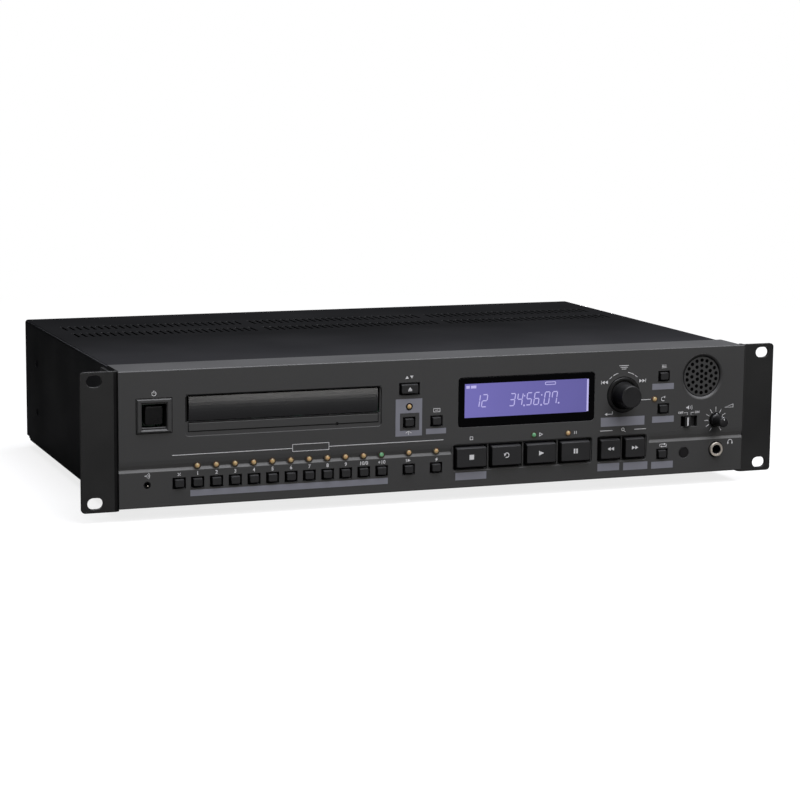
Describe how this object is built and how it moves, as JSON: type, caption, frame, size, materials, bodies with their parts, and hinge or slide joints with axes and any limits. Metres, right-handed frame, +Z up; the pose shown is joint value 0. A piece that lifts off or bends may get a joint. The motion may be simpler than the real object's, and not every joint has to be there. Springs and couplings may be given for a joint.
{
  "type": "rack-mount disc player",
  "caption": "Rack-mount disc player with a front-loading tray, number keys, transport keys, display, jog dial, level knob, monitor speaker and rack ears.",
  "frame": {"origin": "middle of the width and depth, at the height of the underside of the feet", "axes": "+X to the right seen from the front, +Y to the rear, +Z up"},
  "size_m": [0.4826, 0.306, 0.0945],
  "materials": {
    "front_paint": "moulded front in fine matt dark grey paint",
    "ear_paint": "black powder coat on bent steel",
    "cover_paint": "black textured powder coat on sheet steel",
    "chassis_paint": "black paint on sheet steel",
    "rubber": "matt black rubber",
    "key_plastic": "matt dark grey moulded plastic",
    "gloss_plastic": "clear dark moulded plastic",
    "door_plastic": "glossy dark moulded plastic",
    "lcd_glass": "violet backlit glass",
    "knob_plastic": "matt black moulded plastic",
    "black_plastic": "matt black moulded plastic",
    "tray_plastic": "fine matt black moulded plastic",
    "steel": "zinc plated steel",
    "chrome": "nickel plated bush",
    "circuit_board": "green glass-fibre board with its parts",
    "gear_plastic": "natural white moulded plastic"
  },
  "bodies": {
    "housing": {"front_bezel": "front_paint", "rack_ear_left": "ear_paint", "rack_ear_right": "ear_paint", "top_cover": "cover_paint", "base_chassis": "chassis_paint", "rear_panel": "chassis_paint", "foot_front_left": "rubber", "foot_front_right": "rubber", "foot_rear_left": "rubber", "foot_rear_right": "rubber", "power_frame": "front_paint", "display_window": "gloss_plastic", "lcd_module": "lcd_glass", "phones_jack": "chrome", "ir_window": "gloss_plastic", "front_board": "circuit_board", "speaker_driver": "black_plastic", "loader_frame": "black_plastic", "clamp_bridge": "steel", "main_board": "circuit_board", "power_supply": "circuit_board", "ac_inlet": "black_plastic"},
    "clear_key_body": {"clear_key": "key_plastic"},
    "number_key_1_body": {"number_key_1": "key_plastic"},
    "number_key_2_body": {"number_key_2": "key_plastic"},
    "number_key_3_body": {"number_key_3": "key_plastic"},
    "number_key_4_body": {"number_key_4": "key_plastic"},
    "number_key_5_body": {"number_key_5": "key_plastic"},
    "number_key_6_body": {"number_key_6": "key_plastic"},
    "number_key_7_body": {"number_key_7": "key_plastic"},
    "number_key_8_body": {"number_key_8": "key_plastic"},
    "number_key_9_body": {"number_key_9": "key_plastic"},
    "number_key_10_0_body": {"number_key_10_0": "key_plastic"},
    "number_key_plus_10_body": {"number_key_plus_10": "key_plastic"},
    "cue_key_body": {"cue_key": "key_plastic"},
    "flash_key_body": {"flash_key": "key_plastic"},
    "shift_key_body": {"shift_key": "key_plastic"},
    "display_key_body": {"display_key": "key_plastic"},
    "open_close_key_body": {"open_close_key": "key_plastic"},
    "menu_key_body": {"menu_key": "key_plastic"},
    "jog_mode_key_body": {"jog_mode_key": "key_plastic"},
    "play_mode_key_body": {"play_mode_key": "key_plastic"},
    "stop_key_body": {"stop_key": "key_plastic"},
    "call_key_body": {"call_key": "key_plastic"},
    "play_key_body": {"play_key": "key_plastic"},
    "pause_key_body": {"pause_key": "key_plastic"},
    "search_back_key_body": {"search_back_key": "key_plastic"},
    "search_forward_key_body": {"search_forward_key": "key_plastic"},
    "power_button_body": {"power_button": "key_plastic"},
    "speaker_switch_body": {"speaker_switch": "knob_plastic"},
    "encoder_shaft_body": {"encoder_shaft": "steel"},
    "jog_dial_body": {"jog_dial": "knob_plastic"},
    "level_knob_body": {"level_knob": "knob_plastic"},
    "tray_body": {"disc_tray": "tray_plastic", "tray_door": "door_plastic"},
    "loading_gear_body": {"loading_gear": "gear_plastic"},
    "traverse_deck_body": {"traverse_deck": "steel"},
    "turntable_body": {"turntable": "gear_plastic"},
    "pickup_sled_body": {"pickup_sled": "black_plastic"},
    "disc_clamp_body": {"disc_clamp": "gear_plastic"}
  },
  "joints": [
    {"name": "clear_key_press", "type": "slide", "parent": "housing", "child": "clear_key_body", "axis": [0, 1, 0], "range_m": [0, 0.0005], "stiffness_N_per_m": 2000, "springref_m": -0.0002},
    {"name": "number_key_1_press", "type": "slide", "parent": "housing", "child": "number_key_1_body", "axis": [0, 1, 0], "range_m": [0, 0.0005], "stiffness_N_per_m": 2000, "springref_m": -0.0002},
    {"name": "number_key_2_press", "type": "slide", "parent": "housing", "child": "number_key_2_body", "axis": [0, 1, 0], "range_m": [0, 0.0005], "stiffness_N_per_m": 2000, "springref_m": -0.0002},
    {"name": "number_key_3_press", "type": "slide", "parent": "housing", "child": "number_key_3_body", "axis": [0, 1, 0], "range_m": [0, 0.0005], "stiffness_N_per_m": 2000, "springref_m": -0.0002},
    {"name": "number_key_4_press", "type": "slide", "parent": "housing", "child": "number_key_4_body", "axis": [0, 1, 0], "range_m": [0, 0.0005], "stiffness_N_per_m": 2000, "springref_m": -0.0002},
    {"name": "number_key_5_press", "type": "slide", "parent": "housing", "child": "number_key_5_body", "axis": [0, 1, 0], "range_m": [0, 0.0005], "stiffness_N_per_m": 2000, "springref_m": -0.0002},
    {"name": "number_key_6_press", "type": "slide", "parent": "housing", "child": "number_key_6_body", "axis": [0, 1, 0], "range_m": [0, 0.0005], "stiffness_N_per_m": 2000, "springref_m": -0.0002},
    {"name": "number_key_7_press", "type": "slide", "parent": "housing", "child": "number_key_7_body", "axis": [0, 1, 0], "range_m": [0, 0.0005], "stiffness_N_per_m": 2000, "springref_m": -0.0002},
    {"name": "number_key_8_press", "type": "slide", "parent": "housing", "child": "number_key_8_body", "axis": [0, 1, 0], "range_m": [0, 0.0005], "stiffness_N_per_m": 2000, "springref_m": -0.0002},
    {"name": "number_key_9_press", "type": "slide", "parent": "housing", "child": "number_key_9_body", "axis": [0, 1, 0], "range_m": [0, 0.0005], "stiffness_N_per_m": 2000, "springref_m": -0.0002},
    {"name": "number_key_10_0_press", "type": "slide", "parent": "housing", "child": "number_key_10_0_body", "axis": [0, 1, 0], "range_m": [0, 0.0005], "stiffness_N_per_m": 2000, "springref_m": -0.0002},
    {"name": "number_key_plus_10_press", "type": "slide", "parent": "housing", "child": "number_key_plus_10_body", "axis": [0, 1, 0], "range_m": [0, 0.0005], "stiffness_N_per_m": 2000, "springref_m": -0.0002},
    {"name": "cue_key_press", "type": "slide", "parent": "housing", "child": "cue_key_body", "axis": [0, 1, 0], "range_m": [0, 0.0005], "stiffness_N_per_m": 2000, "springref_m": -0.0002},
    {"name": "flash_key_press", "type": "slide", "parent": "housing", "child": "flash_key_body", "axis": [0, 1, 0], "range_m": [0, 0.0005], "stiffness_N_per_m": 2000, "springref_m": -0.0002},
    {"name": "shift_key_press", "type": "slide", "parent": "housing", "child": "shift_key_body", "axis": [0, 1, 0], "range_m": [0, 0.0005], "stiffness_N_per_m": 2000, "springref_m": -0.0002},
    {"name": "display_key_press", "type": "slide", "parent": "housing", "child": "display_key_body", "axis": [0, 1, 0], "range_m": [0, 0.0005], "stiffness_N_per_m": 2000, "springref_m": -0.0002},
    {"name": "open_close_key_press", "type": "slide", "parent": "housing", "child": "open_close_key_body", "axis": [0, 1, 0], "range_m": [0, 0.0005], "stiffness_N_per_m": 2000, "springref_m": -0.0002},
    {"name": "menu_key_press", "type": "slide", "parent": "housing", "child": "menu_key_body", "axis": [0, 1, 0], "range_m": [0, 0.0005], "stiffness_N_per_m": 2000, "springref_m": -0.0002},
    {"name": "jog_mode_key_press", "type": "slide", "parent": "housing", "child": "jog_mode_key_body", "axis": [0, 1, 0], "range_m": [0, 0.0005], "stiffness_N_per_m": 2000, "springref_m": -0.0002},
    {"name": "play_mode_key_press", "type": "slide", "parent": "housing", "child": "play_mode_key_body", "axis": [0, 1, 0], "range_m": [0, 0.0005], "stiffness_N_per_m": 2000, "springref_m": -0.0002},
    {"name": "stop_key_press", "type": "slide", "parent": "housing", "child": "stop_key_body", "axis": [0, 1, 0], "range_m": [0, 0.0005], "stiffness_N_per_m": 2000, "springref_m": -0.0002},
    {"name": "call_key_press", "type": "slide", "parent": "housing", "child": "call_key_body", "axis": [0, 1, 0], "range_m": [0, 0.0005], "stiffness_N_per_m": 2000, "springref_m": -0.0002},
    {"name": "play_key_press", "type": "slide", "parent": "housing", "child": "play_key_body", "axis": [0, 1, 0], "range_m": [0, 0.0005], "stiffness_N_per_m": 2000, "springref_m": -0.0002},
    {"name": "pause_key_press", "type": "slide", "parent": "housing", "child": "pause_key_body", "axis": [0, 1, 0], "range_m": [0, 0.0005], "stiffness_N_per_m": 2000, "springref_m": -0.0002},
    {"name": "search_back_key_press", "type": "slide", "parent": "housing", "child": "search_back_key_body", "axis": [0, 1, 0], "range_m": [0, 0.0005], "stiffness_N_per_m": 2000, "springref_m": -0.0002},
    {"name": "search_forward_key_press", "type": "slide", "parent": "housing", "child": "search_forward_key_body", "axis": [0, 1, 0], "range_m": [0, 0.0005], "stiffness_N_per_m": 2000, "springref_m": -0.0002},
    {"name": "power_button_press", "type": "slide", "parent": "housing", "child": "power_button_body", "axis": [0, 1, 0], "range_m": [0, 0.0035], "stiffness_N_per_m": 600, "springref_m": -0.001},
    {"name": "speaker_switch_slide", "type": "slide", "parent": "housing", "child": "speaker_switch_body", "axis": [1, 0, 0], "range_m": [0, 0.003]},
    {"name": "encoder_shaft_push", "type": "slide", "parent": "housing", "child": "encoder_shaft_body", "axis": [0, 1, 0], "range_m": [0, 0.0006], "stiffness_N_per_m": 4000, "springref_m": -0.0002},
    {"name": "jog_dial_turn", "type": "hinge", "parent": "encoder_shaft_body", "child": "jog_dial_body", "pos_m": [0.1271, -0.1438, 0.0643], "axis": [0, -1, 0], "continuous": true},
    {"name": "level_knob_turn", "type": "hinge", "parent": "housing", "child": "level_knob_body", "pos_m": [0.1973, -0.1438, 0.0437], "axis": [0, -1, 0], "range_deg": [-150, 150]},
    {"name": "tray_slide", "type": "slide", "parent": "housing", "child": "tray_body", "axis": [0, -1, 0], "range_m": [0, 0.135]},
    {"name": "loading_gear_turn", "type": "hinge", "parent": "housing", "child": "loading_gear_body", "pos_m": [-0.0651, -0.1068, 0.0605], "axis": [0, 0, -1], "range_deg": [0, 967]},
    {"name": "traverse_deck_tilt", "type": "hinge", "parent": "housing", "child": "traverse_deck_body", "pos_m": [-0.1103, 0.0482, 0.0585], "axis": [1, 0, 0], "range_deg": [0, 3.5]},
    {"name": "turntable_spin", "type": "hinge", "parent": "traverse_deck_body", "child": "turntable_body", "pos_m": [-0.1103, -0.06815, 0.0685], "axis": [0, 0, 1], "continuous": true},
    {"name": "pickup_sled_slide", "type": "slide", "parent": "traverse_deck_body", "child": "pickup_sled_body", "axis": [0, 1, 0], "range_m": [0, 0.034]},
    {"name": "disc_clamp_spin", "type": "hinge", "parent": "housing", "child": "disc_clamp_body", "pos_m": [-0.1103, -0.06815, 0.0795], "axis": [0, 0, 1], "continuous": true}
  ],
  "couplings": [
    {"joint": "loading_gear_turn", "follows": "tray_slide", "rad_per_m": 125},
    {"joint": "disc_clamp_spin", "follows": "turntable_spin", "ratio": 1}
  ]
}
